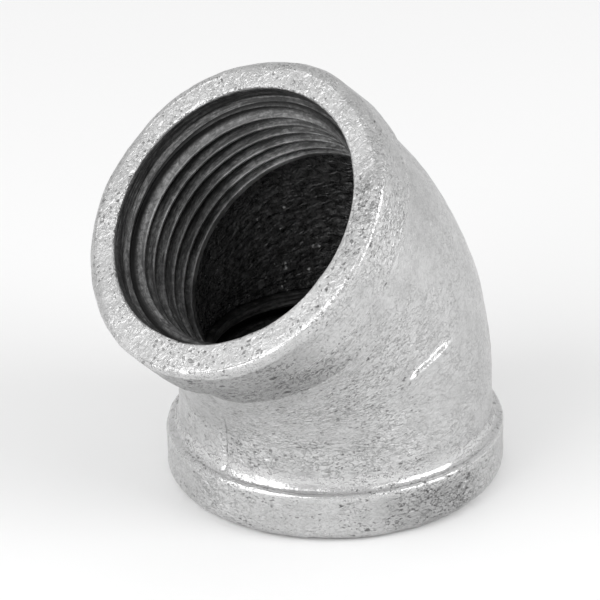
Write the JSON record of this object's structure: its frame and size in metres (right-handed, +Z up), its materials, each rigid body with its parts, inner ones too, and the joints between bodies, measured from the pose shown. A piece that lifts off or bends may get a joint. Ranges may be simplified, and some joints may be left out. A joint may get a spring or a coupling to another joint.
{
  "type": "pipe elbow",
  "caption": "Banded 45 degree pipe elbow of malleable iron, with a female pipe thread in both ends, to join two pipes at an angle.",
  "frame": {"origin": "centre of the lower port's flat face, which the elbow stands on", "axes": "+Z up the lower port's axis into the fitting; the upper port leans 45 degrees from +Z towards -X; Y is across the bend"},
  "size_m": [0.052, 0.042, 0.055],
  "materials": {
    "galvanised_iron": "satin",
    "cut_thread": "satin"
  },
  "bodies": {
    "root": {"lower_band": "galvanised_iron", "upper_band": "galvanised_iron", "lower_leg": "galvanised_iron", "upper_leg": "galvanised_iron", "left_rib": "galvanised_iron", "right_rib": "galvanised_iron", "lower_thread": "cut_thread", "upper_thread": "cut_thread"}
  },
  "joints": []
}
